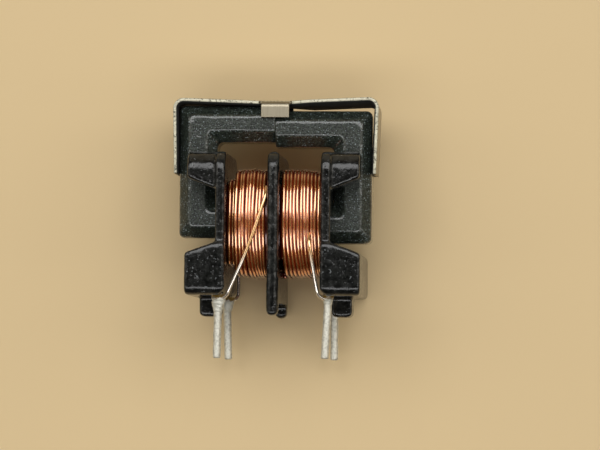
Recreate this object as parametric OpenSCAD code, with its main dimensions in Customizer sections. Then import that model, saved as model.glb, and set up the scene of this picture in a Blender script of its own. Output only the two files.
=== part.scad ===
// Line filter: a common-mode choke wound on a two-section coil former.
// Frame: X from left to right along the coil, Y from front to rear, Z up. Lengths in mm.
// The origin is the centre of the four-pin pattern on the seating plane under the feet.

/* [Terminals] */
// Distance between the left and right pins
pin_pitch_x = 8; // [7.8:0.05:8.4]
// Distance between the front and rear pins
pin_pitch_y = 7; // [6.6:0.1:7.4]
// Diameter of a tinned pin
pin_d = 0.6; // [0.5:0.02:0.66]
// Length of a pin below the seating plane
pin_drop = 3.1; // [2.4:0.1:5]
// Length of a pin held inside its rail
pin_hold = 2.4; // [1.6:0.1:2.6]
// Length of the tapered pin tip
pin_point = 0.16; // [0.1:0.02:0.3]
// How much thinner a pin gets, in radius, from its solder joint to its held end
pin_taper = 0.02; // [0.01:0.005:0.03]
// Gap around a pin in its hole
pin_fit = 0.01; // [0.005:0.005:0.02]
// Thickness of a soldered wire wrap over its pin
solder_t = 0.14; // [0.1:0.01:0.18]
// Length of a soldered wire wrap along its pin
solder_h = 0.95; // [0.7:0.05:1.1]

/* [Ferrite cores] */
// Thickness of a core leg
leg_t = 2.66; // [2.4:0.02:2.8]
// Thickness of a core back, which joins its legs
back_t = 2.78; // [2.6:0.02:3.1]
// Depth of a core from front to rear
core_d = 3.8; // [3.5:0.1:4]
// Chamfer along the edges of a core
core_chamfer = 0.78; // [0.5:0.02:0.85]
// Rounding of the outer core corners
core_corner_r = 0.35; // [0.2:0.05:0.6]
// How far the right core sits below the left one
core_step = 0.35; // [0.1:0.05:0.45]
// Gap around a core leg in the former
core_fit = 0.04; // [0.02:0.01:0.08]
// How far the joint of the cores sits left of the middle
core_shift = 0.1; // [0.04:0.02:0.14]
// Gap between the right core back and its side flange
back_gap = 0.04; // [0.03:0.01:0.1]
// Gap between the flange top and the leg above it
head_gap = 0.52; // [0.3:0.02:0.8]

/* [Coil former] */
// Height of the feet, from the seating plane to the rails
stand_h = 1.45; // [1.2:0.05:1.7]
// Height of a terminal rail
rail_h = 3.8; // [3.4:0.1:4.2]
// Width of a terminal rail outside the flange
rail_reach = 2.2; // [1.9:0.05:2.6]
// Fall of the rail top towards its outer end
rail_fall = 0.78; // [0.4:0.02:1]
// How far a rail stands out in front of the flange
rail_proud = 0.2; // [0.1:0.05:0.35]
// Rounding of the lower front and rear rail edges
rail_r = 0.6; // [0.4:0.05:0.9]
// Height of the wire relief at the inner rail edge
relief_h = 0.4; // [0.25:0.05:0.5]
// Step between the rail top and the floor of the bore
seat_step = 0.06; // [0.04:0.01:0.1]
// Width of one winding section
section_w = 3.06; // [2.9:0.02:3.2]
// Thickness of a side flange
flange_t = 0.66; // [0.5:0.02:0.75]
// Thickness of the middle flange
divider_t = 0.82; // [0.7:0.02:0.9]
// Wall of the tube around the core legs
tube_wall = 0.54; // [0.45:0.01:0.65]
// Rounding of the tube corners
tube_r = 0.8; // [0.6:0.05:0.95]
// Height of the flanges over the front of the coil
lip_d = 0.58; // [0.45:0.02:0.7]
// Height of the flanges over the top of the coil
lip_h = 1; // [0.8:0.05:1.15]
// Rounding of the upper flange corners
flange_r = 1.3; // [0.7:0.05:1.5]
// Rounding of the moulded edges
edge_r = 0.25; // [0.15:0.05:0.3]
// Depth of the tips under the middle flange
tip_d = 1.3; // [1:0.1:1.6]
// Height of the tips under the middle flange
tip_h = 0.95; // [0.7:0.05:1.1]
// Width of a foot
foot_w = 1.46; // [1.2:0.02:1.6]
// Distance from the side flange to the middle of a foot
foot_out = 0.7; // [0.6:0.02:1.2]
// Depth of a foot
foot_d = 2.5; // [2:0.1:3]
// Rounding of the lower foot edges
foot_r = 0.35; // [0.2:0.05:0.5]

/* [Core guides] */
// Reach of a guide ear outside the flange
ear_reach = 2.1; // [1.7:0.05:2.3]
// Height of a guide ear at its outer end
ear_h = 1.9; // [1.6:0.05:2.1]
// Height of a guide ear where it meets the flange
ear_root_h = 2.75; // [2.4:0.05:3]
// How far an ear sits behind the flange edge
ear_set = 0.35; // [0.25:0.05:0.5]
// Gap between a guide ear and the core
ear_gap = 0.15; // [0.08:0.01:0.25]

/* [Windings] */
// Diameter of the enamelled wire
wire_d = 0.27; // [0.24:0.01:0.29]
// Number of wire layers in a winding
layers = 8; // [6:1:8]
// Number of outer layers of the left winding that stop short
short_layers = 3; // [1:1:4]
// Number of turns that those short layers lack
short_turns = 2; // [1:1:3]
// Gap between a winding and the flanges
coil_fit = 0.02; // [0.01:0.01:0.04]

/* [Spring clip] */
// Thickness of the spring strip
clip_t = 0.32; // [0.22:0.01:0.36]
// Width of the spring strip from front to rear
clip_w = 4; // [3.7:0.1:4.4]
// How far the arms reach down beside the cores
clip_reach = 5; // [4:0.1:6]
// Inner radius of the bent corners
clip_r = 0.45; // [0.4:0.05:0.6]
// Radius of the slight upward bends beside the tab
clip_kink_r = 3; // [2:0.5:5]
// Gap between the clip and the cores it holds
clip_fit = 0.02; // [0.01:0.01:0.04]
// Width of a clip tab
tab_w = 2.06; // [1.8:0.02:2.4]
// Drop of a clip tab below the strip
tab_drop = 0.92; // [0.7:0.02:1.2]
// Inner radius of the tab bend
tab_r = 0.15; // [0.1:0.01:0.2]
// Gap between a clip tab and the core
tab_gap = 0.05; // [0.03:0.01:0.1]
// Width of the relief slots beside a tab
slot_w = 0.15; // [0.1:0.01:0.2]

/* [Hidden] */
$fn = 48;
arc_steps = 8;
lead_sides = 8;
ease_passes = 2;
overrun = core_fit;
// Lean of the clip arms and rise of its two halves, in degrees
left_lean = 1.2;
right_lean = 2;
left_rise = 2;
right_rise = 2.5;
// Angle at which a lead meets its pin
lead_angle = 38;
// Nesting of wire layers, and the slack that one turn needs along the coil
layer_share = 0.866;
turn_share = 1.01;
// Rounding of the middle flange all round its rim, as a share of its thickness
nose_share = 0.44;
// Outline of a soldered wrap: shares of its length and of its thickness, from the bottom
solder_shares = [[0, 0.1], [0.16, 0.5], [0.3, 0.42], [0.46, 0.8],
    [0.58, 0.7], [0.74, 1], [0.9, 0.94], [1, 0.6]];

pin_r = pin_d / 2;
wire_r = wire_d / 2;
solder_r = pin_r + solder_t;
solder_top = stand_h - coil_fit;
bore_y = core_d + 2 * core_fit;
bore_z = leg_t + core_step + 2 * core_fit;
tube_y = bore_y + 2 * tube_wall;
tube_z = bore_z + 2 * tube_wall;
rail_top = stand_h + rail_h;
axis_z = rail_top + seat_step + bore_z / 2;
side_in = divider_t / 2 + section_w;
side_out = side_in + flange_t;
rail_out = side_out + rail_reach;
build = wire_d * (1 + (layers - 1) * layer_share);
turns = floor((section_w - 2 * coil_fit) / (wire_d * turn_share));
turn_pitch = (section_w - 2 * coil_fit) / turns;
coil_y = tube_y + 2 * build;
coil_z = tube_z + 2 * build;
flat_y = tube_y / 2 - tube_r;
flat_z = tube_z / 2 - tube_r;
flange_y = coil_y / 2 + lip_d;
flange_top = axis_z + coil_z / 2 + lip_h;
rail_y = flange_y + rail_proud;
leg_l = side_out + core_shift + back_gap;
core_l = leg_l + back_t;
window_h = flange_top - axis_z + head_gap + core_step / 2 - leg_t / 2;
core_h = 2 * leg_t + window_h;
core_mid = axis_z + (core_h - leg_t) / 2;
left_top = core_mid + core_step / 2 + core_h / 2;
clip_under = left_top + clip_fit;

function unit(v) = v / norm(v);

function dir(a) = [cos(a), sin(a)];

function reversed(v) = [for (i = [len(v) - 1:-1:0]) v[i]];

// Points of an arc between two angles
function arc(centre, r, from, to) =
    [for (k = [0:arc_steps]) centre + r * dir(from + (to - from) * k / arc_steps)];

// Points of the arc that rounds corner p between directions a and b
function fillet(p, a, b, r) =
    let (half = acos(a * b) / 2, centre = p + unit(a + b) * r / sin(half),
        first = p + a * r / tan(half) - centre, last = p + b * r / tan(half) - centre,
        start = atan2(first.y, first.x), sweep = atan2(last.y, last.x) - start,
        turn = sweep > 180 ? sweep - 360 : sweep < -180 ? sweep + 360 : sweep)
    arc(centre, r, start, start + turn);

// Closed outline with each corner rounded by its own radius, zero for a sharp one
function rounded(points, radii) =
    let (n = len(points))
    [for (i = [0:n - 1])
        each radii[i] == 0 ? [points[i]] : fillet(points[i], unit(points[(i + n - 1) % n] - points[i]),
            unit(points[(i + 1) % n] - points[i]), radii[i])];

function box(x0, y0, x1, y1) = [[x0, y0], [x1, y0], [x1, y1], [x0, y1]];

// Rectangle about the origin with equal 45 degree chamfers
function octagon(w, h, c) = [[-w / 2 + c, -h / 2], [w / 2 - c, -h / 2], [w / 2, -h / 2 + c],
    [w / 2, h / 2 - c], [w / 2 - c, h / 2], [-w / 2 + c, h / 2], [-w / 2, h / 2 - c], [-w / 2, -h / 2 + c]];

// Route with its corners cut, for soft bends in a wire
function eased(route, passes) = passes == 0 ? route : eased(
    [route[0],
        for (i = [0:len(route) - 2])
            each [between(route[i], route[i + 1]), between(route[i + 1], route[i])],
        route[len(route) - 1]], passes - 1);

// Point a quarter of the way from a to b
function between(a, b) = a + (b - a) / 4;

// Outline in Y and Z carried along X
module slab_x(x0, x1) translate([x0, 0, 0]) rotate([90, 0, 90]) linear_extrude(x1 - x0) children();

// Outline in X and Z carried along Y
module slab_y(y0, y1) translate([0, y1, 0]) rotate([90, 0, 0]) linear_extrude(y1 - y0) children();

// Outline in X and Y carried along Z
module slab_z(z0, z1) translate([0, 0, z0]) linear_extrude(z1 - z0) children();

module both_x() {
    children();
    mirror([1, 0, 0]) children();
}

module both_y() {
    children();
    mirror([0, 1, 0]) children();
}

// One U core about its own mid height, with its mating faces at x = 0 and its back on the left
module u_core() difference() {
    intersection() {
        slab_x(-core_l, 0) polygon(octagon(core_d, core_h, core_chamfer));
        slab_z(-core_h / 2, core_h / 2) polygon([[0, -core_d / 2], [0, core_d / 2],
            [-core_l + core_chamfer, core_d / 2], [-core_l, core_d / 2 - core_chamfer],
            [-core_l, -core_d / 2 + core_chamfer], [-core_l + core_chamfer, -core_d / 2]]);
        slab_y(-core_d / 2, core_d / 2) polygon(rounded(box(-core_l, -core_h / 2, 0, core_h / 2),
            [core_corner_r, 0, 0, core_corner_r]));
    }
    slab_y(-core_d, core_d) polygon(box(-leg_l, -window_h / 2, overrun, window_h / 2));
    both_y() window_mouth();
}

// Chamfer round the front mouth of the core window, mitred at its corners
module window_mouth() {
    lip = core_chamfer + overrun;
    front = -core_d / 2 - overrun;
    inner = -core_d / 2 + core_chamfer;
    intersection() {
        slab_x(-core_l, overrun) polygon([[front, -window_h / 2 - lip], [inner, -window_h / 2],
            [inner, window_h / 2], [front, window_h / 2 + lip]]);
        slab_z(-core_h / 2, core_h / 2)
            polygon([[-leg_l - lip, front], [overrun, front], [overrun, inner], [-leg_l, inner]]);
    }
}

module left_core() color("#3d4142") translate([-core_shift, 0, core_mid + core_step / 2]) u_core();

module right_core() color("#414546") translate([-core_shift, 0, core_mid - core_step / 2])
    mirror([1, 0, 0]) u_core();

// One moulding: tube, flanges, guide ears, terminal rails and feet
module former() color("#17181a") difference() {
    union() {
        slab_x(-side_out, side_out) translate([0, axis_z])
            polygon(rounded(box(-tube_y / 2, -tube_z / 2, tube_y / 2, tube_z / 2),
                [tube_r, tube_r, tube_r, tube_r]));
        divider();
        both_x() side();
    }
    slab_x(-side_out - overrun, side_out + overrun) translate([0, axis_z])
        polygon(octagon(bore_y, bore_z, core_chamfer));
    at_pins() translate([0, 0, stand_h - overrun]) cylinder(h = pin_hold + overrun, r = pin_r + pin_fit);
}

// Middle flange with a round rim, and a front and a rear tip that stand on the board
module divider() {
    nose = [for (k = [0:3]) divider_t * nose_share];
    intersection() {
        slab_x(-divider_t / 2, divider_t / 2) polygon(rounded(
            [[-flange_y, 0], [-flange_y + tip_d, 0], [-flange_y + tip_d, tip_h], [flange_y - tip_d, tip_h],
                [flange_y - tip_d, 0], [flange_y, 0], [flange_y, flange_top], [-flange_y, flange_top]],
            [edge_r, edge_r, edge_r, edge_r, edge_r, edge_r, flange_r, flange_r]));
        slab_y(-flange_y, flange_y) polygon(rounded(box(-divider_t / 2, 0, divider_t / 2, flange_top), nose));
        slab_z(0, flange_top) polygon(rounded(box(-divider_t / 2, -flange_y, divider_t / 2, flange_y), nose));
    }
}

// Right end of the former: flange, two ears, rail and foot
module side() {
    foot_x = side_out + foot_out;
    slab_x(side_in, side_out) polygon(rounded(box(-flange_y, stand_h + rail_h / 2, flange_y, flange_top),
        [0, 0, flange_r, flange_r]));
    both_y() ear();
    intersection() {
        slab_y(-rail_y, rail_y) polygon(rounded(
            [[side_in, stand_h + relief_h], [side_in + relief_h, stand_h], [rail_out, stand_h],
                [rail_out, rail_top - rail_fall], [side_out, rail_top], [side_in, rail_top]],
            [edge_r / 2, edge_r / 2, edge_r, edge_r, edge_r, 0]));
        slab_x(side_in, rail_out) polygon(rounded(box(-rail_y, stand_h, rail_y, rail_top),
            [rail_r, rail_r, edge_r, edge_r]));
    }
    slab_y(-foot_d / 2, foot_d / 2) polygon(rounded(
        box(foot_x - foot_w / 2, 0, foot_x + foot_w / 2, stand_h + rail_h / 2), [foot_r, foot_r, 0, 0]));
}

// Front right ear, which guides the core back from the front
module ear() {
    ear_out = side_out + ear_reach;
    ear_y = flange_y - ear_set;
    intersection() {
        slab_y(-ear_y, -core_d / 2 - ear_gap) polygon(rounded(
            [[side_in + flange_t / 2, flange_top - ear_root_h], [side_out, flange_top - ear_root_h],
                [ear_out, flange_top - ear_h], [ear_out, flange_top], [side_in + flange_t / 2, flange_top]],
            [0, 0, edge_r, edge_r, 0]));
        slab_x(side_in, ear_out) polygon(rounded(
            box(-ear_y, flange_top - ear_root_h, -core_d / 2 - ear_gap, flange_top),
            [edge_r, edge_r, edge_r, flange_r]));
    }
}

module at_pins() both_x() both_y() translate([pin_pitch_x / 2, pin_pitch_y / 2, 0]) children();

// One pin: its tip, its round free length, and its slightly tapered end up to its seat in the rail
module pin(sx, sy) translate([sx * pin_pitch_x / 2, sy * pin_pitch_y / 2, 0]) {
    free_top = solder_top - solder_h;
    translate([0, 0, -pin_drop]) cylinder(h = pin_point, r1 = pin_r - pin_point * 2 / 3, r2 = pin_r);
    translate([0, 0, -pin_drop + pin_point]) cylinder(h = free_top + pin_drop - pin_point, r = pin_r);
    translate([0, 0, free_top])
        cylinder(h = stand_h + pin_hold - free_top, r1 = pin_r, r2 = pin_r - pin_taper);
}

// Wire wrapped round a pin and soldered over, as one sleeve
module solder(sx, sy) translate([sx * pin_pitch_x / 2, sy * pin_pitch_y / 2, solder_top - solder_h])
    rotate_extrude() polygon([[pin_r + pin_fit, 0],
        for (s = solder_shares) [pin_r + pin_fit + s[1] * (solder_t - pin_fit), s[0] * solder_h],
        [pin_r + pin_fit, solder_h]]);

module pin_front_left() color("#b9b9b4") pin(-1, -1);

module pin_front_right() color("#b9b9b4") pin(1, -1);

module pin_rear_left() color("#b9b9b4") pin(-1, 1);

module pin_rear_right() color("#b9b9b4") pin(1, 1);

module solder_front_left() color("#c6c4bb") solder(-1, -1);

module solder_front_right() color("#c6c4bb") solder(1, -1);

module solder_rear_left() color("#c6c4bb") solder(-1, 1);

module solder_rear_right() color("#c6c4bb") solder(1, 1);

// Section of the turns from the tube outwards: count turns wide, with a ridge for each wire on top
module turn_section(count, deep) {
    translate([tube_r, 0]) square([deep - wire_r, count * turn_pitch]);
    for (i = [0:count - 1])
        translate([tube_r + deep - wire_r, (i + 1 / 2) * turn_pitch]) circle(r = wire_r);
}

// Section of one winding from the middle flange outwards; the last layers lack some turns
module coil_section(lacking) {
    turn_section(turns - lacking, build);
    if (lacking > 0) turn_section(turns, build - short_layers * wire_d * layer_share);
}

// Right-hand coil: its section carried round the tube, with a quarter turn at each corner
module coil(lacking) translate([divider_t / 2 + coil_fit, 0, axis_z]) rotate([90, 0, 90])
    for (q = [0:3]) {
        a = q % 2 == 0 ? flat_y : flat_z;
        b = q % 2 == 0 ? flat_z : flat_y;
        rotate([0, 0, 90 * q]) translate([a, b, 0]) {
            rotate_extrude(angle = 90) coil_section(lacking);
            rotate([90, 0, 0]) linear_extrude(2 * b) coil_section(lacking);
        }
    }

// Wire along a route, as one closed tube
module lead(route) {
    n = len(route);
    s = lead_sides;
    along = [for (i = [0:n - 1]) unit(route[min(i + 1, n - 1)] - route[max(i - 1, 0)])];
    polyhedron(
        points = [for (i = [0:n - 1], k = [0:s - 1])
            let (u = unit(cross(along[i], [0, 1, 0])), v = cross(along[i], u))
            route[i] + wire_r * (cos(360 * k / s) * u + sin(360 * k / s) * v)],
        faces = [[for (k = [0:s - 1]) k], [for (k = [s - 1:-1:0]) (n - 1) * s + k],
            for (i = [0:n - 2], k = [0:s - 1])
                let (p = i * s + k, q = i * s + (k + 1) % s)
                each [[p, p + s, q + s], [p, q + s, q]]]);
}

// Last part of a lead: under the rail edge to the soldered wrap of the pin at sides sx and sy
function lead_tail(sx, sy) =
    let (pin_x = pin_pitch_x / 2, pin_y = pin_pitch_y / 2, low = solder_top - solder_h / 2,
        run = solder_r + pin_fit, stand_off = side_in - wire_d)
    [[sx * stand_off, sy * (pin_y + solder_r + wire_d), stand_h + wire_d],
        [sx * (stand_off + wire_r / 2), sy * (pin_y + solder_r + wire_r), low + wire_r],
        [sx * (pin_x - cos(lead_angle) * run), sy * (pin_y + sin(lead_angle) * run), low]];

// Lead that leaves its coil beside the flange and runs straight down to its pin
function side_lead(sx, sy) =
    let (x = side_in - 3 * turn_pitch)
    [[sx * x, sy * (coil_y / 2 - 2 * wire_d), axis_z - flat_z / 4],
        [sx * x, sy * (coil_y / 2 + wire_r + coil_fit), axis_z - flat_z],
        [sx * (x + wire_r), sy * (coil_y / 2 + wire_r + coil_fit), axis_z - 2 * flat_z],
        each lead_tail(sx, sy)];

// Lead that starts beside the middle flange and crosses the front of the left coil
function crossing_lead() =
    let (y = -coil_y / 2 - wire_r - coil_fit, x = -divider_t / 2 - turn_pitch)
    [[x, y + wire_d * 5 / 2, axis_z + flat_z + 2 * wire_d], [x, y, axis_z + flat_z],
        [x - section_w * 2 / 5, y, axis_z - 2 * flat_z], each lead_tail(-1, -1)];

module left_winding() color("#b5612f") {
    mirror([1, 0, 0]) coil(short_turns);
    lead(eased(crossing_lead(), ease_passes));
    lead(eased(side_lead(-1, 1), ease_passes));
}

module right_winding() color("#b5612f") {
    coil(0);
    lead(eased(side_lead(1, -1), ease_passes));
    lead(eased(side_lead(1, 1), ease_passes));
}

// One half of the strip as if on the right, t above its inner face: the slight upward bend beside the tab,
// the bent corner, and the arm end. The corner's place follows from where the arm has to end.
function half_strip(lean, rise, t) =
    let (down = -90 - lean, foot = [core_l + clip_fit, clip_under - clip_reach],
        bend_c = [tab_w / 2 + 2 * slot_w, clip_under + clip_t + clip_kink_r],
        bend_end = bend_c + (clip_kink_r + clip_t) * dir(rise - 90),
        gap = foot - bend_end - clip_r * (dir(rise - 90) - dir(down - 90)),
        run = (gap.x * sin(down) - gap.y * cos(down)) / sin(down - rise),
        corner_c = bend_end + run * dir(rise) + clip_r * dir(rise - 90))
    concat(arc(bend_c, clip_kink_r + clip_t - t, -90, rise - 90),
        arc(corner_c, clip_r + t, rise + 90, down + 90), [foot + t * dir(down + 90)]);

function mirrored(v) = [for (p = v) [-p.x, p.y]];

// Bent strip over both cores, with a tab turned down at the front and at the rear
module spring_clip() color("#b3aa98") translate([-core_shift, 0, 0]) {
    tab_root = core_d / 2 + tab_gap - tab_r;
    difference() {
        slab_y(-clip_w / 2, clip_w / 2) polygon(concat(
            reversed(mirrored(half_strip(left_lean, left_rise, 0))), half_strip(right_lean, right_rise, 0),
            reversed(half_strip(right_lean, right_rise, clip_t)),
            mirrored(half_strip(left_lean, left_rise, clip_t))));
        both_y() slab_z(clip_under - overrun, clip_under + clip_t + overrun)
            polygon(box(-tab_w / 2 - slot_w, -clip_w, tab_w / 2 + slot_w, -tab_root));
    }
    both_y() {
        translate([-tab_w / 2, -tab_root, clip_under - tab_r]) rotate([90, 0, 90]) rotate([0, 0, 90])
            rotate_extrude(angle = 90) translate([tab_r, 0]) square([clip_t, tab_w]);
        translate([-tab_w / 2, -tab_root - tab_r - clip_t, clip_under - tab_drop])
            cube([tab_w, clip_t, tab_drop - tab_r]);
    }
}

former();
left_core();
right_core();
left_winding();
right_winding();
pin_front_left();
pin_front_right();
pin_rear_left();
pin_rear_right();
solder_front_left();
solder_front_right();
solder_rear_left();
solder_rear_right();
spring_clip();
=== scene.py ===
"""Looks of the line filter: a common-mode choke with two ferrite U cores in a two-section coil former.

Lengths are in millimetres until a mesh is made. X runs along the coil, Y from front to rear, Z up.
"""

import functools
import math

import bmesh
import bpy
import numpy as np
from mathutils import Matrix, Quaternion, Vector


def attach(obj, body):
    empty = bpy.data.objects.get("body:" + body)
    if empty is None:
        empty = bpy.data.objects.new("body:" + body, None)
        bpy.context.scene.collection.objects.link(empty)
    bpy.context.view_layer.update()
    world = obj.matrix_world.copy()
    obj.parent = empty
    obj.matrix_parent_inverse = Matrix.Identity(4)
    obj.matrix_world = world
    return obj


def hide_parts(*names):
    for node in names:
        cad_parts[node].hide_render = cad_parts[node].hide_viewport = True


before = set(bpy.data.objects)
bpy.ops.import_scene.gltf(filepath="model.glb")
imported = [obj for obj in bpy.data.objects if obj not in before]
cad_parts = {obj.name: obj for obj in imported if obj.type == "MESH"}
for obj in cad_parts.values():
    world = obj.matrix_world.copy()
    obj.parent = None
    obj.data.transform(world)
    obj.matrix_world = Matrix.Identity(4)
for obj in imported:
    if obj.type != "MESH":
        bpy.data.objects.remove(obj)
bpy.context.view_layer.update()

MM = 0.001
# Points closer than this are one point, in metres
MERGE = 1e-7

# Sizes of the part's source, in mm

# Coil former: height of the coil axis over the seating plane, and thickness of the middle flange
AXIS_Z = 6.855
DIVIDER_T = 0.82

# Windings: wire, distance between turns, nesting of layers, gap to the flanges, half depth and half height
WIRE_D = 0.27
TURN_PITCH = 0.2745
LAYER_SHARE = 0.866
COIL_FIT = 0.02
COIL_Y = 4.387
COIL_Z = 3.992
# Turns of a full layer, number of short outer layers on the left, and the turns that those lack
TURNS = 11
SHORT_LAYERS = 3
SHORT_TURNS = 2

# Ferrite cores: leg, back, whole length, depth from front to rear, chamfer, and height of the window
LEG_L = 4.27
LEG_T = 2.66
BACK_T = 2.78
CORE_L = 7.05
CORE_D = 3.8
CHAMFER = 0.78
WINDOW_H = 4.357
# Height of their middle, how far the right one sits lower, and how far their joint sits left of the middle
CORE_MID = 10.363
CORE_STEP = 0.35
CORE_SHIFT = 0.1

# Pins: distances from the middle, radius, length below the seating plane, and the soldered wraps on them
PIN_X = 4.0
PIN_Y = 3.5
PIN_R = 0.3
PIN_DROP = 3.1
SOLDER_TOP = 1.43
SOLDER_T = 0.14

# Spring clip: height of its underside, strip, reach of the arms, bends, and gap to the cores
CLIP_UNDER = 15.397
CLIP_T = 0.32
CLIP_W = 4.0
CLIP_REACH = 5.0
CLIP_R = 0.45
KINK_R = 3.0
CLIP_FIT = 0.02
# Lean of its arms and rise of its halves, in degrees
LEFT_LEAN = 1.2
RIGHT_LEAN = 2.0
LEFT_RISE = 2.0
RIGHT_RISE = 2.5
# Its tabs: width, drop below the strip, radius and start of the bend, and width of the slots beside them
TAB_W = 2.06
TAB_DROP = 0.92
TAB_R = 0.15
TAB_ROOT = 1.8
SLOT_W = 0.15

# Sizes of the looks alone, in mm

# Points round a wire, wire layers drawn on the left and on the right, and depth of the filling in layers
WIRE_SIDES = 10
LEFT_LAYERS = 5
RIGHT_LAYERS = 3
FILLING_DEPTH = 5
# How far a lead that lies on its coil stands out in front of the axis or behind it
LEAD_Y = COIL_Y + WIRE_D / 2
# Height where the solder begins on a lead, and the drop over which it comes to cover it
DIP_TOP = 4.7
DIP_FADE = 1.1
# Sides: along X the left is -1 and the right 1, and along Y the front is -1 and the rear 1
SIDES = (("left", -1), ("right", 1))
# How far the pin on each side leans at its tip, to the right and to the rear
LEANS = {(-1, -1): (-0.06, 0.0), (1, -1): (-0.24, 0.0), (-1, 1): (0.14, 0.0), (1, 1): (0.0, 0.0)}
# Length of the soldered wrap on each side, and how far it leans to the right at its top
WRAPS = {(-1, -1): (1.25, 0.06), (1, -1): (0.6, -0.03), (-1, 1): (1.0, 0.08), (1, 1): (0.9, 0.0)}
# Width, thickness and edge radius of the clip's strip and of its tabs
STRIP = (CLIP_W, CLIP_T, 0.07)
TAB = (TAB_W, CLIP_T - 0.006, 0.05)
# How far the painted shade on the clip's inner face, a dull black tone, reaches up its edges
BLACK_H = 0.1


# Shapes


def ripple(p, height, size, seed, waves=16):
    """Sum of plane sine waves with seeded directions, about size mm from crest to crest, which stays
    within about height mm up and down."""
    rng = np.random.default_rng(seed)
    # Seeded directions, each with its own wavelength near size
    k = rng.normal(size=(waves, 3))
    k *= 2 * np.pi / size * rng.uniform(0.6, 1.5, (waves, 1)) / np.linalg.norm(k, axis=1, keepdims=True)
    phase = rng.uniform(0, 2 * np.pi, waves)
    return height * (np.sin(np.asarray(p) @ k.T + phase).sum(-1) / math.sqrt(waves))


def unit(v):
    """Vectors scaled to length one."""
    return v / np.linalg.norm(v, axis=-1, keepdims=True)


def rounded(corners, radius, steps=6):
    """Closed outline with an arc of the given radius in each corner, tangent to both of its sides."""
    p = np.asarray(corners, float)
    a, b = unit(np.roll(p, 1, 0) - p), unit(np.roll(p, -1, 0) - p)
    half = np.arccos(np.clip((a * b).sum(-1), -1, 1)) / 2
    centre = p + unit(a + b) * (radius / np.sin(half))[:, None]
    reach = (radius / np.tan(half))[:, None]
    first = (p + a * reach - centre)[:, None]
    last = (p + b * reach - centre)[:, None]
    t = np.linspace(0, 1, steps)[None, :, None]
    swing = (np.pi - 2 * half)[:, None, None]
    bend = (np.sin((1 - t) * swing) * first + np.sin(t * swing) * last) / np.sin(swing)
    return (centre[:, None] + bend).reshape(-1, 2)


def evenly(points, count, closed=False):
    """The same line with count points at equal distances along it."""
    p = np.vstack([points, points[:1]]) if closed else np.asarray(points, float)
    s = np.concatenate([[0], np.cumsum(np.linalg.norm(np.diff(p, axis=0), axis=1))])
    at = np.linspace(0, s[-1], count, endpoint=not closed)
    return np.stack([np.interp(at, s, c) for c in p.T], -1)


def eased(points, passes=3):
    """Route with its corners cut at a quarter of each side, passes times over."""
    p = np.asarray(points, float)
    for _ in range(passes):
        cut = np.stack([0.75 * p[:-1] + 0.25 * p[1:], 0.25 * p[:-1] + 0.75 * p[1:]], 1).reshape(-1, 3)
        p = np.vstack([p[:1], cut, p[-1:]])
    return p


def tube(path, radius, side=None, sides=WIRE_SIDES):
    """Circle carried along a path: point plus radius times cosine and sine of an angle along two cross
    directions. The first of these follows side, or is square to the depth where no side is given."""
    along = unit(np.gradient(path, axis=0))
    if side is None:
        u = unit(np.cross(along, [0, 1, 0]))
    else:
        u = unit(side - (side * along).sum(-1, keepdims=True) * along)
    v = np.cross(along, u)
    a = np.linspace(0, 2 * np.pi, sides, endpoint=False)[None, :, None]
    r = np.broadcast_to(radius, (len(path), sides))[:, :, None]
    return path[:, None] + r * (np.cos(a) * u[:, None] + np.sin(a) * v[:, None])


def closed_ends(grid):
    """The grid with each end ring drawn in to its centre, so that the skin is closed."""
    first, last = grid[:1].mean(1, keepdims=True), grid[-1:].mean(1, keepdims=True)
    return np.concatenate([first + 0 * grid[:1], grid, last + 0 * grid[-1:]])


def skin(grid, around=False):
    """Quads between neighbouring grid points; the second parameter closes on itself, and the first too
    where it goes around."""
    nu, nv = grid.shape[:2]
    i = np.arange(nu if around else nu - 1)[:, None]
    j = np.arange(nv)[None]
    k, m = (i + 1) % nu, (j + 1) % nv
    return np.stack([i * nv + j, k * nv + j, k * nv + m, i * nv + m], -1).reshape(-1, 4)


def piece(name, grids, material, node, mark=None):
    """One mesh from grids given as (points, around), merged, with its faces outwards, standing for a CAD
    node. A mark is a name and, for each grid, the value at its points, which the material reads."""
    verts = np.concatenate([g.reshape(-1, 3) for g, _ in grids]) * MM
    starts = np.cumsum([0] + [g.shape[0] * g.shape[1] for g, _ in grids])
    quads = np.concatenate([skin(g, around) + s for (g, around), s in zip(grids, starts)])
    mesh = bpy.data.meshes.new(name)
    mesh.from_pydata(verts.tolist(), [], quads.tolist())
    if mark:
        values = [np.broadcast_to(v, g.shape[:2]).ravel() for v, (g, _) in zip(mark[1], grids)]
        mesh.attributes.new(mark[0], "FLOAT", "POINT").data.foreach_set("value", np.concatenate(values))
    return dressed(name, mesh, material, node)


def dressed(name, mesh, material, node):
    """Merges doubles, turns the faces outwards, shades smooth, and puts the piece on the body in place of
    its node."""
    bm = bmesh.new()
    bm.from_mesh(mesh)
    bmesh.ops.remove_doubles(bm, verts=bm.verts, dist=MERGE)
    bmesh.ops.dissolve_degenerate(bm, edges=bm.edges, dist=MERGE / 10)
    bmesh.ops.recalc_face_normals(bm, faces=bm.faces)
    bm.to_mesh(mesh)
    bm.free()
    mesh.polygons.foreach_set("use_smooth", np.ones(len(mesh.polygons), bool))
    mesh.materials.clear()
    mesh.materials.append(material)
    obj = bpy.data.objects.new(name, mesh)
    bpy.context.scene.collection.objects.link(obj)
    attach(obj, "root")
    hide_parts(node)
    return obj


def values_of(items, name, width, kind=float):
    """One property of all points or edges of a mesh, as an array with so many columns."""
    values = np.empty(len(items) * width, kind)
    items.foreach_get(name, values)
    return values.reshape(-1, width)


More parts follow.
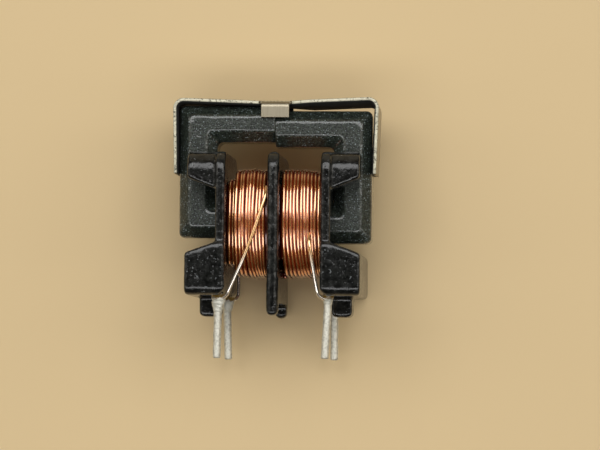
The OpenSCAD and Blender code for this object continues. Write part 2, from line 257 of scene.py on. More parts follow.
def moulding():
    """The former's solid in even cells, its edges eased by averaging each point with its neighbours, and the
    varnish laid on as a thickness and waves along the normals."""
    # Size of the cells, rounds of averaging, and thickness of the varnish
    cell, passes, varnish = 0.108, 3, 0.02
    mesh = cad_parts["former"].data.copy()
    mesh.transform(Matrix.Scale(1 / MM, 4))
    bm = bmesh.new()
    bm.from_mesh(mesh)
    bmesh.ops.remove_doubles(bm, verts=bm.verts, dist=MERGE / MM)
    bm.to_mesh(mesh)
    bm.free()
    rough = bpy.data.objects.new("former_cells", mesh)
    bpy.context.scene.collection.objects.link(rough)
    cells = rough.modifiers.new("cells", "REMESH")
    cells.mode = "VOXEL"
    cells.voxel_size = cell
    even = bpy.data.meshes.new_from_object(rough.evaluated_get(bpy.context.evaluated_depsgraph_get()))
    bpy.data.objects.remove(rough)
    p = values_of(even.vertices, "co", 3)
    a, b = values_of(even.edges, "vertices", 2, int).T
    near = np.bincount(a, minlength=len(p)) + np.bincount(b, minlength=len(p))
    for _ in range(passes):
        sums = [np.bincount(a, p[b, c], len(p)) + np.bincount(b, p[a, c], len(p)) for c in range(3)]
        p = 0.5 * p + 0.5 * np.stack(sums, -1) / near[:, None]
    even.vertices.foreach_set("co", p.ravel())
    even.update()
    normal = values_of(even.vertices, "normal", 3)
    p += normal * (varnish + ripple(p, 0.006, 1.2, 1) + ripple(p, 0.004, 0.5, 2))[:, None]
    even.vertices.foreach_set("co", (p * MM).ravel())
    even.update()
    return even


def u_core(hand, mid):
    """Chamfered section carried along a U. A section point lies w out from the window and y deep; its U
    runs along one leg at height w over the window, round a corner arc, down the back and out along the
    other leg."""
    # Rounding of the edges and corners
    r = 0.42
    # Break of the ground edges at the end faces, and run-out of the lacquer towards them
    broken, runout = 0.05, 0.3
    c, h, t = CHAMFER, CORE_D / 2, LEG_T
    octagon = [(c, -h), (t - c, -h), (t, c - h), (t, h - c), (t - c, h), (c, h), (0, h - c), (0, c - h)]
    w, y = evenly(rounded(octagon, r), count=168, closed=True).T
    back = LEG_L + w + np.interp(w, [c, t - c], [0, BACK_T - LEG_T]) - r
    top = WINDOW_H / 2 + w - r
    leg = np.linspace(0, 1, 48)[:, None]
    turn = np.linspace(0, np.pi / 2, 10)[1:, None]
    down = np.linspace(1, 0, 36)[1:, None]
    x = np.concatenate([-back * leg, -back - r * np.sin(turn), -back - r + 0 * down])
    z = np.concatenate([top + r + 0 * leg, top + r * np.cos(turn), top * down])
    # The lower half mirrors the upper one
    x = np.concatenate([x, x[-2::-1]])
    z = np.concatenate([z, -z[-2::-1]])
    grid = np.stack([x, np.broadcast_to(y, x.shape), z], -1)
    middle = grid.mean(1, keepdims=True)
    grid[[0, -1]] += broken * unit(middle - grid)[[0, -1]]
    grid[[1, -2], :, 0] = -broken
    grid = closed_ends(grid)
    lacquer = ripple(grid, 0.005, 1.1, 3 - hand) + ripple(grid, 0.002, 0.4, 5 - hand)
    lacquer *= np.clip(-grid[..., 0] / runout, 0, 1)
    # The end points lie on the middle line, where a tiny offset keeps their direction from being none
    outwards = unit(grid - np.concatenate([middle[:1], middle, middle[-1:]]) + 1e-9)
    grid += lacquer[..., None] * outwards
    # So far this is the left core
    grid[..., 0] *= -hand
    return grid + [-CORE_SHIFT, 0, mid]


def coil_line(turn, inset):
    """Point of the coil outline after so many turns, inset along its normal, and the angle of that
    normal. The outline is eight arcs that meet without a corner: a wide one in front and behind, a flat
    one above and below, and a tight one in each corner."""
    # Radius of the wide arcs and the angle of half of one, and radius of the tight arcs
    wide, sweep, tight = 7.2, np.radians(24), 1.6
    corner_y = COIL_Y - wide + (wide - tight) * np.cos(sweep)
    corner_z = (wide - tight) * np.sin(sweep)
    lean = 2 * np.arctan2(COIL_Z - tight - corner_z, corner_y)
    flat = corner_y / np.sin(lean) + tight
    # Angles of the quarter from the rear to the top, along its wide, tight and flat arcs
    f = np.linspace(0, sweep, 16)
    c = np.linspace(sweep, np.pi / 2 - lean, 16)[1:]
    g = np.linspace(np.pi / 2 - lean, np.pi / 2, 8)[1:]
    y = np.concatenate([COIL_Y - wide + wide * np.cos(f), corner_y + tight * np.cos(c), flat * np.cos(g)])
    z = np.concatenate([wide * np.sin(f), corner_z + tight * np.sin(c), COIL_Z - flat + flat * np.sin(g)])
    way = np.concatenate([f, c, g])
    # The quarter is mirrored to the upper half, and that is turned round to the lower half
    y = np.concatenate([y, -y[-2::-1]])
    z = np.concatenate([z, z[-2::-1]])
    way = np.concatenate([way, np.pi - way[-2::-1]])
    y = np.concatenate([y, -y[1:]])
    z = np.concatenate([z, -z[1:]])
    way = np.concatenate([way, np.pi + way[1:]])
    s = np.concatenate([[0], np.cumsum(np.hypot(np.diff(y), np.diff(z)))])
    at = np.mod(turn, 1) * s[-1]
    n = np.interp(at, s, way)
    return np.interp(at, s, y) - inset * np.cos(n), np.interp(at, s, z) - inset * np.sin(n), n


def wire_layer(hand, layer, turns, seed):
    """One layer of a coil: a circle carried along a helix whose turns follow the coil outline a little
    unevenly."""
    # How far the turns sink at both ends of the left coil, and at the side and middle flanges on the right
    ends, flange, divider = 0.14, 0.24, 0.06
    # How far they lean to the right and hang where they run under the coil
    lean, hang = 0.42, 0.18
    # Room left over the outermost layer
    room = 0.03
    a = np.linspace(0, 2 * np.pi * turns, 96 * turns + 1)
    n = a / (2 * np.pi)
    share = n / turns
    # The waves are read along a stretched helix, so that neighbouring turns differ
    helix = np.stack([3.1 * n, 4 * np.cos(a), 4 * np.sin(a)], -1)
    uneven = ripple(helix, 0.022, 5, seed) + ripple(helix, 0.011, 1.6, seed + 20)
    if hand < 0:
        sunk = ends * (2 * share - 1) ** 2
    else:
        sunk = flange * share**3 + divider * (1 - share) ** 3
    inset = WIRE_D / 2 + layer * WIRE_D * LAYER_SHARE + room * (layer == 0) + uneven * (layer < 2) + sunk
    # A layer starts under the coil, a quarter turn before the rear
    y, z, out = coil_line(n - 0.25, inset)
    x = DIVIDER_T / 2 + COIL_FIT + WIRE_D / 2 + share * (turns * TURN_PITCH - WIRE_D)
    x = x + ripple(helix, 0.024, 5, seed + 40)
    along = (x - x[0]) / (x[-1] - x[0])
    # From none at 1 mm below the axis to all of it 3 mm further down
    under = np.clip((-z - 1) / 3, 0, 1) ** 2
    x = x + hand * lean * 4 * along * (1 - along) * under
    path = np.stack([hand * x, y, z + AXIS_Z - hang * under], -1)
    return closed_ends(tube(path, WIRE_D / 2, np.stack([0 * a, np.cos(out), np.sin(out)], -1)))


def filling(hand):
    """The hidden layers as one ring: a rounded rectangle carried round the coil outline."""
    start = DIVIDER_T / 2 + COIL_FIT
    end = start + TURNS * TURN_PITCH
    # Insets of its outer and inner faces, and rounding of its edges
    outer, inner, r = FILLING_DEPTH * WIRE_D * LAYER_SHARE, 1.9, 0.12
    x, inset = rounded([(start, outer), (end, outer), (end, inner), (start, inner)], r, steps=4).T
    turn = np.linspace(0, 1, 96, endpoint=False)[:, None]
    y, z, _ = coil_line(turn + 0 * inset, inset)
    return np.stack([hand * np.broadcast_to(x, y.shape), y, z + AXIS_Z], -1)


def tail(sx, sy):
    """End of a lead's route: under the rail edge to the wrap of the pin on that side."""
    return [(sx * 3.2, sy * 4.2, 1.78), (sx * 3.3, sy * 4.05, 1.45), (sx * 3.72, sy * 3.72, 1.2)]


def lead(*route):
    """Wire from the coil to its pin, a little thinner for being pulled: a circle carried along a route
    with soft bends."""
    pulled = 0.92
    return closed_ends(tube(eased(route), WIRE_D / 2 * pulled))


def dipped(grid):
    """Mark of a lead: one where it is bare enamel, rising to two where the end was dipped in solder."""
    return 1 + np.clip((DIP_TOP - grid[..., 2]) / DIP_FADE, 0, 1)


def pin_line(sx, sy, lean, z):
    """Middle line of a pin: upright in its rail, and from there straight to its leaning tip."""
    drop = np.clip((SOLDER_TOP - z) / (SOLDER_TOP + PIN_DROP), 0, 1)
    return np.stack([sx * PIN_X + lean[0] * drop, sy * PIN_Y + lean[1] * drop, z], -1)


def round_bar(path, radius, sides):
    """Circle carried along an upright path, from the right-hand side on, and the directions out of the
    path."""
    grid = tube(path, radius, np.array([1.0, 0.0, 0.0]), sides)
    return grid, grid - path[:, None]


def pin(sx, sy, lean, seed):
    """Tinned pin: a circle carried along its line, its radius uneven and drawn in at the tip."""
    # Length of the tip, start of the shank, height of the end held in the rail, and room for the uneven tin
    tip, shank, held, tin_t = 0.14, 0.16, 2.2, 0.012
    # Share of the radius that is left at the tip
    blunt = 0.62
    bend = np.linspace(0, np.pi / 2, 7)
    z = np.concatenate([-PIN_DROP + tip * (1 - np.cos(bend)), np.linspace(-PIN_DROP + shank, held, 70)])
    end = np.clip((z + PIN_DROP) / tip, 0, 1)
    r = (PIN_R - tin_t) * (blunt + (1 - blunt) * np.sqrt(1 - (1 - end) ** 2))
    grid, out = round_bar(pin_line(sx, sy, lean, z), r[:, None], sides=28)
    grid += out / PIN_R * (ripple(grid, 0.008, 0.9, seed) + ripple(grid, 0.004, 0.35, seed + 9))[..., None]
    return closed_ends(grid)


def wrap(sx, sy, lean, length, aside, seed):
    """Soldered wrap: a circle carried down the pin, whose radius flares to a collar of flux under the
    rail, keeps the thickness of the wire along the wrap with a ripple along its helix, and tapers into
    the pin."""
    # Length of a wrap of the usual thickness, and reach of its collar into the rail
    usual, reach = 0.9, 0.1
    # Height of the turns, as a share of the thickness
    turn_h = 0.1
    z = np.linspace(SOLDER_TOP + reach, SOLDER_TOP - length, 72)
    a = np.linspace(0, 2 * np.pi, 40, endpoint=False)
    s = (z - z[-1]) / (z[0] - z[-1])
    # Thickness in shares of the usual one, at shares of the length from the bottom
    swell = np.interp(s, [0, 0.1, 0.3, 0.55, 0.8, 0.9, 0.95, 1], [-0.2, 0.12, 0.45, 0.9, 1.1, 1.3, 1.9, 2.4])
    turns = turn_h * np.cos(a[None] - 2 * np.pi * z[:, None] / WIRE_D) * np.clip(s * 3 - 0.4, 0, 1)[:, None]
    path = pin_line(sx, sy, lean, z)
    path[:, 0] += aside * s
    grid, out = round_bar(path, PIN_R + SOLDER_T * (swell[:, None] * length / usual + turns), sides=len(a))
    # The top eighth is the collar, which is lumpier
    collar = np.clip(s * 8 - 7, 0, 1)[:, None]
    lumps = ripple(grid, 0.02, 0.5, seed) + ripple(grid, 0.09, 0.9, seed + 3) * collar
    return closed_ends(grid + unit(out) * lumps[..., None])


def turned(degrees):
    """Direction at an angle in the plane of X and Z."""
    return np.array([math.cos(math.radians(degrees)), math.sin(math.radians(degrees))])


def arc(centre, r, start, end):
    """Points of an arc between two angles."""
    a = np.radians(np.linspace(start, end, 12))
    return centre + r * np.stack([np.cos(a), np.sin(a)], -1)


def strip_section(wide, thick, r):
    """Rounded rectangle about the origin, evenly spaced, as (across, through)."""
    w, t = wide / 2, thick / 2
    return evenly(rounded([(-w, -t), (w, -t), (w, t), (-w, t)], r, steps=5), int(60 + wide * 20), closed=True)


def thickened(line, through):
    """Sheet seen from its side: each point of its line, moved through the sheet along the line's normal."""
    along = unit(np.gradient(line, axis=0))
    return line[:, :1] - along[:, 1:] * through, line[:, 1:] + along[:, :1] * through


def half_strip(lean, rise):
    """Middle line of one half of the clip as if on the right: a slight upward bend beside the tab, a bent
    corner, and the arm, whose end sets where the corner lies."""
    down, mid = -90 - lean, CLIP_T / 2
    foot = np.array([CORE_L + CLIP_FIT, CLIP_UNDER - CLIP_REACH])
    bend_centre = np.array([TAB_W / 2 + 2 * SLOT_W, CLIP_UNDER + CLIP_T + KINK_R])
    bend_end = bend_centre + (KINK_R + CLIP_T) * turned(rise - 90)
    gap = foot - bend_end - CLIP_R * (turned(rise - 90) - turned(down - 90))
    run = (gap[0] * turned(down)[1] - gap[1] * turned(down)[0]) / math.sin(math.radians(down - rise))
    corner_centre = bend_end + run * turned(rise) + CLIP_R * turned(rise - 90)
    bend = arc(bend_centre, KINK_R + mid, -90, rise - 90)
    corner = arc(corner_centre, CLIP_R + mid, rise + 90, down + 90)
    return np.vstack([bend, corner, foot + mid * turned(down + 90)])


def clip_strip():
    """Sheared strip carried along its bent line: up the left arm, over the cores with a slight upward
    bend to each side, down the right arm. Beside the tabs its edges are drawn in to the relief slots, and
    its right half is twisted up at the front."""
    # Depth of the slots, and height of the waves along the torn edges
    slot_d, torn = 0.22, 0.012
    # Drop of the right half, and its twist for each mm of depth
    drop, wind = 0.05, 0.05
    left = half_strip(LEFT_LEAN, LEFT_RISE)[::-1] * [-1, 1]
    line = evenly(np.vstack([left, half_strip(RIGHT_LEAN, RIGHT_RISE)]), count=420)
    across, through = strip_section(*STRIP).T
    x, z = thickened(line, through)
    # One at the outer edges of the slots, where the cut ends within a few hundredths, and more beyond them
    beyond = np.hypot(line[:, 0] / (TAB_W / 2 + SLOT_W), (line[:, 1] - CLIP_UNDER) / 3)
    cut = slot_d * np.clip((1.03 - beyond) / 0.06, 0, 1)[:, None]
    y = across * (1 - cut / (CLIP_W / 2))
    # The drop and twist set in beside the tab, and fade down the right arm
    on_right = np.interp(line[:, 0], [1.3, 2.6], [0, 1])
    on_top = np.interp(line[:, 1], [CLIP_UNDER - 2.2, CLIP_UNDER], [0, 1])
    z = z - (on_right * on_top)[:, None] * (drop + wind * y)
    grid = np.stack([x - CORE_SHIFT, y + 0 * x, z], -1)
    grid[..., 1] += np.sign(across) * ripple(grid, torn, 0.7, 21) * (np.abs(across) > 1)
    return closed_ends(grid)


def clip_tab(sy):
    """Tab bent down from the strip: its section carried over the bend and down to its end."""
    # Middle of the sheet, and length of the root inside the strip
    mid, rooted = CLIP_T / 2, 0.6
    start = [TAB_ROOT - rooted, CLIP_UNDER + mid]
    bend = arc(np.array([TAB_ROOT, CLIP_UNDER - TAB_R]), TAB_R + mid, 90, 0)
    end = [TAB_ROOT + TAB_R + mid, CLIP_UNDER - TAB_DROP]
    across, through = strip_section(*TAB).T
    y, z = thickened(evenly(np.vstack([start, bend, end]), count=60), through)
    return closed_ends(np.stack([across + 0 * y - CORE_SHIFT, sy * y, z], -1))


# Materials

# Sockets of a Mix node, by number because numbers and colours have the same names there
SHARE = 0
LOW, HIGH = 2, 3
FROM, TO = 6, 7
# What makes it mix colours, and the number of the output that then holds them
COLOURS = {"data_type": "RGBA", "result": 2}


def linear(code):
    """Linear colour from an sRGB hex code."""
    c = np.array([int(code[i : i + 2], 16) for i in (1, 3, 5)]) / 255
    c = np.where(c <= 0.04045, c / 12.92, ((c + 0.055) / 1.055) ** 2.4)
    return (*c.tolist(), 1.0)


def every(size):
    """Scale of a pattern whose features are about so many mm apart."""
    return 1 / MM / size


def add(tree, kind, inputs=(), result=0, **settings):
    """Adds a node with its settings and gives one of its outputs, if it has any; each input is a value,
    or the output that is linked to it."""
    made = tree.nodes.new("ShaderNode" + kind)
    for name, value in settings.items():
        setattr(made, name, value)
    for name, value in dict(inputs).items():
        if isinstance(value, bpy.types.NodeSocket):
            tree.links.new(value, made.inputs[name])
        else:
            made.inputs[name].default_value = value
    return made.outputs[result] if made.outputs else None


def emptied(block):
    """A material or world without its nodes, and the function that adds a node to it."""
    block.use_nodes = True
    block.node_tree.nodes.clear()
    return block, functools.partial(add, block.node_tree)


def varnished_phenolic():
    """Black phenolic moulding dipped in varnish: deep black and glossy, with fine pits, and pale specks
    of dust and of painted glints that break its highlights."""
    made, node = emptied(bpy.data.materials.new("varnished_phenolic"))
    at = node("TexCoord", result="Object")
    runs = node("TexNoise", {"Vector": at, "Scale": every(0.6), "Detail": 3.0})
    mottle = node("TexNoise", {"Vector": at, "Scale": every(0.35), "Detail": 4.0, "Roughness": 0.7})
    pits = node("TexNoise", {"Vector": at, "Scale": every(0.18), "Detail": 1.0})
    dust = node("TexNoise", {"Vector": at, "Scale": every(0.16), "Detail": 0.0})
    pit = node(
        "MapRange", {"Value": pits, "From Min": 0.66, "From Max": 0.82}, interpolation_type="SMOOTHSTEP"
    )
    lumps = node("Bump", {"Height": runs, "Strength": 0.3, "Distance": 0.08 * MM})
    film = node("Bump", {"Height": mottle, "Strength": 0.25, "Distance": 0.04 * MM, "Normal": lumps})
    bump = node("Bump", {"Height": pit, "Strength": 0.6, "Distance": 0.03 * MM, "Normal": film})
    dull = node("MapRange", {"Value": runs, "From Min": 0.35, "From Max": 0.65, "To Min": 0.1, "To Max": 0.2})
    # Pale specks: partly dust, partly painted glints of the varnish
    dust_and_glint = node("MapRange", {"Value": dust, "From Min": 0.775, "From Max": 0.84})
    cloud = node("MapRange", {"Value": mottle, "From Min": 0.4, "From Max": 0.66})
    tone = node("Mix", {SHARE: cloud, FROM: linear("#090a0a"), TO: linear("#222322")}, **COLOURS)
    tone = node("Mix", {SHARE: dust_and_glint, FROM: tone, TO: linear("#5e6264")}, **COLOURS)
    face = node("BsdfPrincipled", {"Base Color": tone, "Roughness": dull, "IOR": 1.5, "Normal": bump})
    node("OutputMaterial", {"Surface": face})
    return made


def lacquered_ferrite():
    """Sintered ferrite under thin lacquer: charcoal grains of about 0.1 mm, some painted pale blue as
    sparkles, a painted highlight, below a clear skin that draws bright, broken lines along the edges."""
    made, node = emptied(bpy.data.materials.new("lacquered_ferrite"))
    at = node("TexCoord", result="Object")
    # Real grains are finer; these are as coarse as they need to be to show
    grain = node("TexNoise", {"Vector": at, "Scale": every(0.12), "Detail": 2.0})
    sparkle_noise = node("TexNoise", {"Vector": at, "Scale": every(0.1), "Detail": 0.0})
    patch = node("TexNoise", {"Vector": at, "Scale": every(1.6), "Detail": 3.0})
    pool = node("TexNoise", {"Vector": at, "Scale": every(0.45), "Detail": 2.0})
    bump = node("Bump", {"Height": grain, "Strength": 0.6, "Distance": 0.05 * MM})
    pools = node("Bump", {"Height": pool, "Strength": 0.3, "Distance": 0.05 * MM})
    clear = node("Bump", {"Height": grain, "Strength": 0.1, "Distance": 0.05 * MM, "Normal": pools})
    deep = node("MapRange", {"Value": grain, "From Min": 0.36, "From Max": 0.64})
    tone = node("Mix", {SHARE: deep, FROM: linear("#0a0c0b"), TO: linear("#333a32")}, **COLOURS)
    # Painted sparkles, pale blue specks in the colour; their count changes from patch to patch
    turn = node("Math", {0: patch, 1: 0.25, 2: sparkle_noise}, operation="MULTIPLY_ADD")
    painted_sparkle = node("MapRange", {"Value": turn, "From Min": 0.8, "From Max": 0.92})
    tone = node("Mix", {SHARE: painted_sparkle, FROM: tone, TO: linear("#768183")}, **COLOURS)
    grains = {"Base Color": tone, "Roughness": 0.32, "IOR": 1.4, "Normal": bump}
    lacquer = {"Coat Weight": 1.0, "Coat Roughness": 0.06, "Coat IOR": 1.5, "Coat Normal": clear}
    node("OutputMaterial", {"Surface": node("BsdfPrincipled", grains | lacquer)})
    return made


def enamelled_copper():
    """Drawn copper wire under amber enamel: a painted highlight, a thin pale line along the crest of each
    turn and all round a free lead, copper to both sides of it, and painted shade, red-brown, between the
    turns.
    The end of a lead that was dipped in solder is silvery. The crest mark is zero between turns, one along a
    crest or a lead, and two in solder."""
    made, node = emptied(bpy.data.materials.new("enamelled_copper"))
    at = node("TexCoord", result="Object")
    age = node("TexNoise", {"Vector": at, "Scale": every(1.2), "Detail": 3.0})
    crest = node("Attribute", result="Fac", attribute_name="crest")
    # Painted shade: away from the crest the colour darkens to red-brown
    body = node("MapRange", {"Value": crest, "From Min": 0.5, "From Max": 0.9})
    # Painted highlight: a pale line along the crest, and all round a lead
    line = node("MapRange", {"Value": crest, "From Min": 0.92, "From Max": 1.0})
    tinned = node("MapRange", {"Value": crest, "From Min": 1.0, "From Max": 2.0})
    plain = node("Mix", {SHARE: age, FROM: linear("#b24f10"), TO: linear("#d47a2c")}, **COLOURS)
    tone = node("Mix", {SHARE: body, FROM: linear("#841a02"), TO: plain}, **COLOURS)
    tone = node("Mix", {SHARE: line, FROM: tone, TO: linear("#f2b870")}, **COLOURS)
    tone = node("Mix", {SHARE: tinned, FROM: tone, TO: linear("#ece0d2")}, **COLOURS)
    metal = node("MapRange", {"Value": body, "To Min": 0.25, "To Max": 0.95})
    metal = node("Mix", {SHARE: line, LOW: metal, HIGH: 0.8})
    film = node("MapRange", {"Value": crest, "From Min": 0.3, "From Max": 0.85, "To Min": 0.8, "To Max": 1.0})
    wire = {"Base Color": tone, "Metallic": metal, "Roughness": 0.2}
    enamel = {"Coat Weight": film, "Coat Roughness": 0.1, "Coat IOR": 2.25}
    node("OutputMaterial", {"Surface": node("BsdfPrincipled", wire | enamel)})
    return made


def tinned_steel():
    """Hot-tinned pin: grey-white metal with a frosted, slightly lumpy skin and darker specks."""
    made, node = emptied(bpy.data.materials.new("tinned_steel"))
    at = node("TexCoord", result="Object")
    frost = node("TexNoise", {"Vector": at, "Scale": every(0.2), "Detail": 3.0})
    bump = node("Bump", {"Height": frost, "Strength": 0.35, "Distance": 0.03 * MM})
    spot = node("MapRange", {"Value": frost, "From Min": 0.3, "From Max": 0.55})
    tone = node("Mix", {SHARE: spot, FROM: linear("#aaa89d"), TO: linear("#d0cec2")}, **COLOURS)
    face = node("BsdfPrincipled", {"Base Color": tone, "Metallic": 0.6, "Roughness": 0.46, "Normal": bump})
    node("OutputMaterial", {"Surface": face})
    return made


def fluxed_solder():
    """Solder over a wire wrap: bright grey metal, with amber flux left where the wrap meets the rail."""
    made, node = emptied(bpy.data.materials.new("fluxed_solder"))
    at = node("TexCoord", result="Object")
    frost = node("TexNoise", {"Vector": at, "Scale": every(0.22), "Detail": 3.0})
    bump = node("Bump", {"Height": frost, "Strength": 0.5, "Distance": 0.04 * MM})
    high = node("SeparateXYZ", {"Vector": at}, result="Z")
    wander = node("Math", {0: frost, 1: 0.5 * MM, 2: high}, operation="MULTIPLY_ADD")
    flux = node("MapRange", {"Value": wander, "From Min": 1.4 * MM, "From Max": 1.56 * MM})
    tone = node("Mix", {SHARE: flux, FROM: linear("#c9c8bd"), TO: linear("#6e5520")}, **COLOURS)
    metal = node("MapRange", {"Value": flux, "To Min": 0.45, "To Max": 0.0})
    dull = node("MapRange", {"Value": flux, "To Min": 0.5, "To Max": 0.15})
    face = node("BsdfPrincipled", {"Base Color": tone, "Metallic": metal, "Roughness": dull, "Normal": bump})
    node("OutputMaterial", {"Surface": face})
    return made


def brushed_spring_steel():
    """Nickel-plated spring strip: warm grey rolled faces with fine lines across them, paler, grainy
    sheared edges with dark pits, and an inner face painted black and dull as the shade under the strip."""
    made, node = emptied(bpy.data.materials.new("brushed_spring_steel"))
    at = node("TexCoord", result="Object")
    # Real rolling lines are finer; these are as coarse as they need to be to show
    lines_at = node("Mapping", {"Vector": at, "Scale": (every(0.09), every(2.4), every(2.4))})
    lines = node("TexNoise", {"Vector": lines_at, "Scale": 1.0, "Detail": 3.0})
    grain = node("TexNoise", {"Vector": at, "Scale": every(0.13), "Detail": 2.0})
    # The sheared edges lie half the strip's width from its middle; the tabs lie further out
    rim = CLIP_W / 2
    deep = node("Math", {0: node("SeparateXYZ", {"Vector": at}, result="Y")}, operation="ABSOLUTE")
    edge = node("MapRange", {"Value": deep, "From Min": (rim - 0.12) * MM, "From Max": (rim - 0.06) * MM})
    past = node("MapRange", {"Value": deep, "From Min": (rim + 0.04) * MM, "From Max": (rim + 0.08) * MM})
    sheared = node("Math", {0: edge, 1: past}, operation="SUBTRACT")
    brush = node("Bump", {"Height": lines, "Strength": 0.04, "Distance": 0.012 * MM})
    rough = node("Bump", {"Height": grain, "Strength": sheared, "Distance": 0.012 * MM, "Normal": brush})
    rolled = node("Mix", {SHARE: lines, FROM: linear("#837b6a"), TO: linear("#a89f8b")}, **COLOURS)
    pits = node("MapRange", {"Value": grain, "From Min": 0.3, "From Max": 0.5})
    torn = node("Mix", {SHARE: pits, FROM: linear("#4d4a3d"), TO: linear("#bfbba6")}, **COLOURS)
    tone = node("Mix", {SHARE: sheared, FROM: rolled, TO: torn}, **COLOURS)
    # Painted shade: the inner face, as marked, turns black, dull and not metal
    black = node("Attribute", result="Fac", attribute_name="inside")
    tone = node("Mix", {SHARE: black, FROM: tone, TO: linear("#141412")}, **COLOURS)
    dull = node("MapRange", {"Value": sheared, "To Min": 0.36, "To Max": 0.42})
    dull = node("Mix", {SHARE: black, LOW: dull, HIGH: 0.9})
    metal = node("MapRange", {"Value": sheared, "To Min": 1.0, "To Max": 0.5})
    metal = node("Mix", {SHARE: black, LOW: metal, HIGH: 0.0})
    face = node("BsdfPrincipled", {"Base Color": tone, "Metallic": metal, "Roughness": dull, "Normal": rough})
    node("OutputMaterial", {"Surface": face})
    return made


# Pieces

plastic = varnished_phenolic()
ferrite = lacquered_ferrite()
copper = enamelled_copper()
tin = tinned_steel()
solder = fluxed_solder()
spring = brushed_spring_steel()

dressed("former_moulding", moulding(), plastic, "former")
for side, hand in SIDES:
    core = u_core(hand, CORE_MID - hand * CORE_STEP / 2)
    piece(side + "_u_core", [(core, False)], ferrite, side + "_core")

left_leads = [
    lead((-0.55, 0.7 - LEAD_Y, 9.3), (-0.5, -LEAD_Y, 8.7), (-1.95, -LEAD_Y, 4.4), *tail(-1, -1)),
    lead((-3.0, 3.4, 7.5), (-3.05, 4.0, 6.86), (-3.2, 4.1, 5.57), *tail(-1, 1)),
]
right_leads = [
    lead((2.55, sy * (LEAD_Y - 0.6), 6.1), (2.62, sy * LEAD_Y, 5.4), (2.8, sy * LEAD_Y, 4.2), *tail(1, sy))
    for sy in (-1, 1)
]
left_turns = [TURNS - SHORT_TURNS if k < SHORT_LAYERS else TURNS for k in range(LEFT_LAYERS)]
left_layers = [wire_layer(-1, k, turns, 60 + k) for k, turns in enumerate(left_turns)]
right_layers = [wire_layer(1, k, TURNS, 70 + k) for k in range(RIGHT_LAYERS)]
# Round each wire of a coil, the side that faces out is its crest, painted with a pale highlight, and its
# sides get painted shade; a lead, pulled straight, is painted paler all round as a highlight
crest = np.clip(np.cos(np.linspace(0, 2 * np.pi, WIRE_SIDES, endpoint=False)), 0, 1)
for (side, hand), layers, leads in zip(SIDES, (left_layers, right_layers), (left_leads, right_leads)):
    grids = [(g, False) for g in layers + leads] + [(filling(hand), True)]
    # The filling is marked zero, so it shows the painted red-brown shade in the gaps between turns
    marks = [crest] * len(layers) + [dipped(g) for g in leads] + [0]
    piece(side + "_coil", grids, copper, side + "_winding", ("crest", marks))

for (sx, sy), lean in LEANS.items():
    where = ("front" if sy < 0 else "rear") + "_" + ("left" if sx < 0 else "right")
    seed = 80 + 2 * sx + sy
    piece("tinned_pin_" + where, [(pin(sx, sy, lean, seed), False)], tin, "pin_" + where)
    soldered = wrap(sx, sy, lean, *WRAPS[sx, sy], seed + 20)
    piece("wrap_" + where, [(soldered, False)], solder, "solder_" + where)

bent = [(clip_strip(), False), (clip_tab(-1), False), (clip_tab(1), False)]
# The inner faces of the strip and tabs are marked for the painted shade
inside = [strip_section(*size)[:, 1] < BLACK_H - CLIP_T / 2 for size in (STRIP, TAB, TAB)]
piece("clip_spring", bent, spring, "spring_clip", ("inside", inside))


# Stage: a sheet of tan paper behind the part, three soft strip lamps and a light tent, all in metres


def paper():
    """Plain tan paper, seen from its front only."""
    made, node = emptied(bpy.data.materials.new("tan_paper"))
    matt = node("BsdfDiffuse", {"Color": linear("#cfb890")})
    from_behind = node("NewGeometry", result="Backfacing")
    both = node("MixShader", {0: from_behind, 1: matt, 2: node("BsdfTransparent")})
    node("OutputMaterial", {"Surface": both})
    return made


def backdrop(half, rear):
    """Upright square sheet of paper behind the part, which throws no shadow of its own."""
    corners = [(-half, rear, -half), (half, rear, -half), (half, rear, half), (-half, rear, half)]
    mesh = bpy.data.meshes.new("tan_paper")
    mesh.from_pydata(corners, [], [(0, 1, 2, 3)])
    mesh.materials.append(paper())
    sheet = bpy.data.objects.new("tan_paper", mesh)
    bpy.context.scene.collection.objects.link(sheet)
    sheet.visible_shadow = False


def strip_lamp(name, degrees, size, power, distance=0.3):
    """Soft rectangular lamp that faces the middle of the part, so many degrees up from the front."""
    lamp = bpy.data.lights.new(name, "AREA")
    lamp.shape = "RECTANGLE"
    lamp.size, lamp.size_y = size
    lamp.energy = power
    obj = bpy.data.objects.new(name, lamp)
    a = math.radians(degrees)
    way = Vector((0, -math.cos(a), math.sin(a))).normalized()
    obj.location = Vector((0, 0, 7 * MM)) + way * distance
    obj.rotation_euler = (-way).to_track_quat("-Z", "Y").to_euler()
    bpy.context.scene.collection.objects.link(obj)


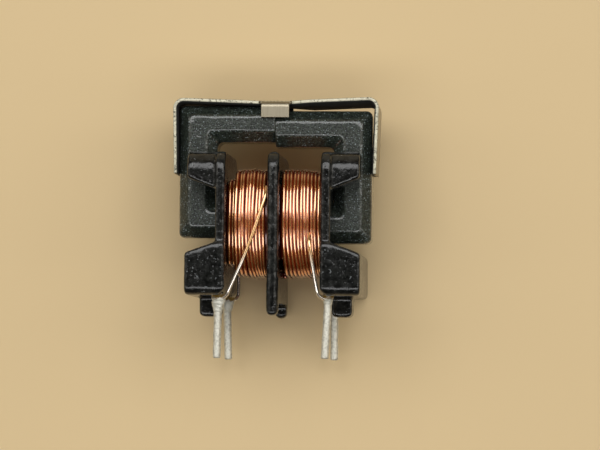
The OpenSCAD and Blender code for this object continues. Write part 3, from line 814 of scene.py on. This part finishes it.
def light_tent():
    """World like a tent: dim in front, pale behind and above, with a white wall at each side of the front
    that is lit in two bands, one over the other. The camera sees the tone of the paper all round."""
    # Bands: height as a share of the way from straight down to straight up, and level of the walls there
    lower = [(0.36, 0.06), (0.385, 1), (0.435, 1), (0.45, 0.1)]
    upper = [(0.53, 0.1), (0.555, 1), (0.68, 1), (0.72, 0.06)]
    made, node = emptied(bpy.data.worlds.new("studio"))
    way = node("TexCoord", result="Generated")
    x, y, z = node("SeparateXYZ", {"Vector": way}).node.outputs
    behind = node("MapRange", {"Value": y, "From Min": -0.2, "From Max": 0.6, "To Min": 0.05, "To Max": 0.6})
    above = node("MapRange", {"Value": z, "From Min": 0.78, "From Max": 0.95, "To Min": 0.05, "To Max": 0.7})
    pale = node("Math", {0: behind, 1: above}, operation="MAXIMUM")
    right = node("MapRange", {"Value": x, "From Min": 0.4, "From Max": 0.55, "To Min": 0.0, "To Max": 2.45})
    left = node("MapRange", {"Value": x, "From Min": -0.4, "From Max": -0.55, "To Min": 0.0, "To Max": 1.8})
    walls = node("Math", {0: right, 1: left}, operation="ADD")
    front = node("MapRange", {"Value": y, "From Min": -0.1, "From Max": -0.4})
    walls = node("Math", {0: walls, 1: front}, operation="MULTIPLY")
    height = node("MapRange", {"Value": z, "From Min": -1.0, "From Max": 1.0})
    level = node("ValToRGB", {"Fac": height}, result="Color")
    stops = level.node.color_ramp.elements
    for place, tone in lower + upper:
        stops.new(place).color = (tone, tone, tone, 1)
    # The two stops that a new ramp has at its ends
    stops.remove(stops[0])
    stops.remove(stops[-1])
    walls = node("Math", {0: walls, 1: level}, operation="MULTIPLY")
    tan = node("Background", {"Color": linear("#dccbab"), "Strength": pale})
    white = node("Background", {"Color": linear("#f4f0e6"), "Strength": walls})
    room = node("AddShader", {0: tan, 1: white})
    shown = node("Background", {"Color": linear("#cfb890"), "Strength": 1.0})
    to_camera = node("LightPath", result="Is Camera Ray")
    both = node("MixShader", {0: to_camera, 1: room, 2: shown})
    node("OutputWorld", {"Surface": both})
    return made


backdrop(half=0.045, rear=5.25 * MM)
strip_lamp("upper_box", degrees=26.5, size=(0.375, 0.152), power=0.665)
strip_lamp("lower_box", degrees=-22.5, size=(0.375, 0.07), power=0.295)
strip_lamp("rear_box", degrees=150, size=(0.375, 0.2), power=0.55)
bpy.context.scene.world = light_tent()

# Camera at the photograph's angle: degrees, and in mm the point that it aims at and its distance from there
AZIMUTH = 4.241
ELEVATION = -2.765
ROLL = 0.523
AIM = Vector((1.634, 0, 6.742))
DISTANCE = 281.863

azimuth, elevation, roll = (math.radians(angle) for angle in (AZIMUTH, ELEVATION, ROLL))
flat = math.cos(elevation)
back = Vector((math.sin(azimuth) * flat, -math.cos(azimuth) * flat, math.sin(elevation)))
lens = bpy.data.cameras.new("camera")
lens.sensor_width = 36
lens.lens = 231
lens.clip_start = 10 * MM
camera = bpy.data.objects.new("camera", lens)
camera.location = AIM * MM + back * DISTANCE * MM
camera.rotation_mode = "QUATERNION"
camera.rotation_quaternion = (-back).to_track_quat("-Z", "Y") @ Quaternion((0, 0, 1), roll)
bpy.context.scene.collection.objects.link(camera)
bpy.context.scene.camera = camera

bpy.context.scene.view_settings.view_transform = "Standard"

bpy.context.view_layer.update()
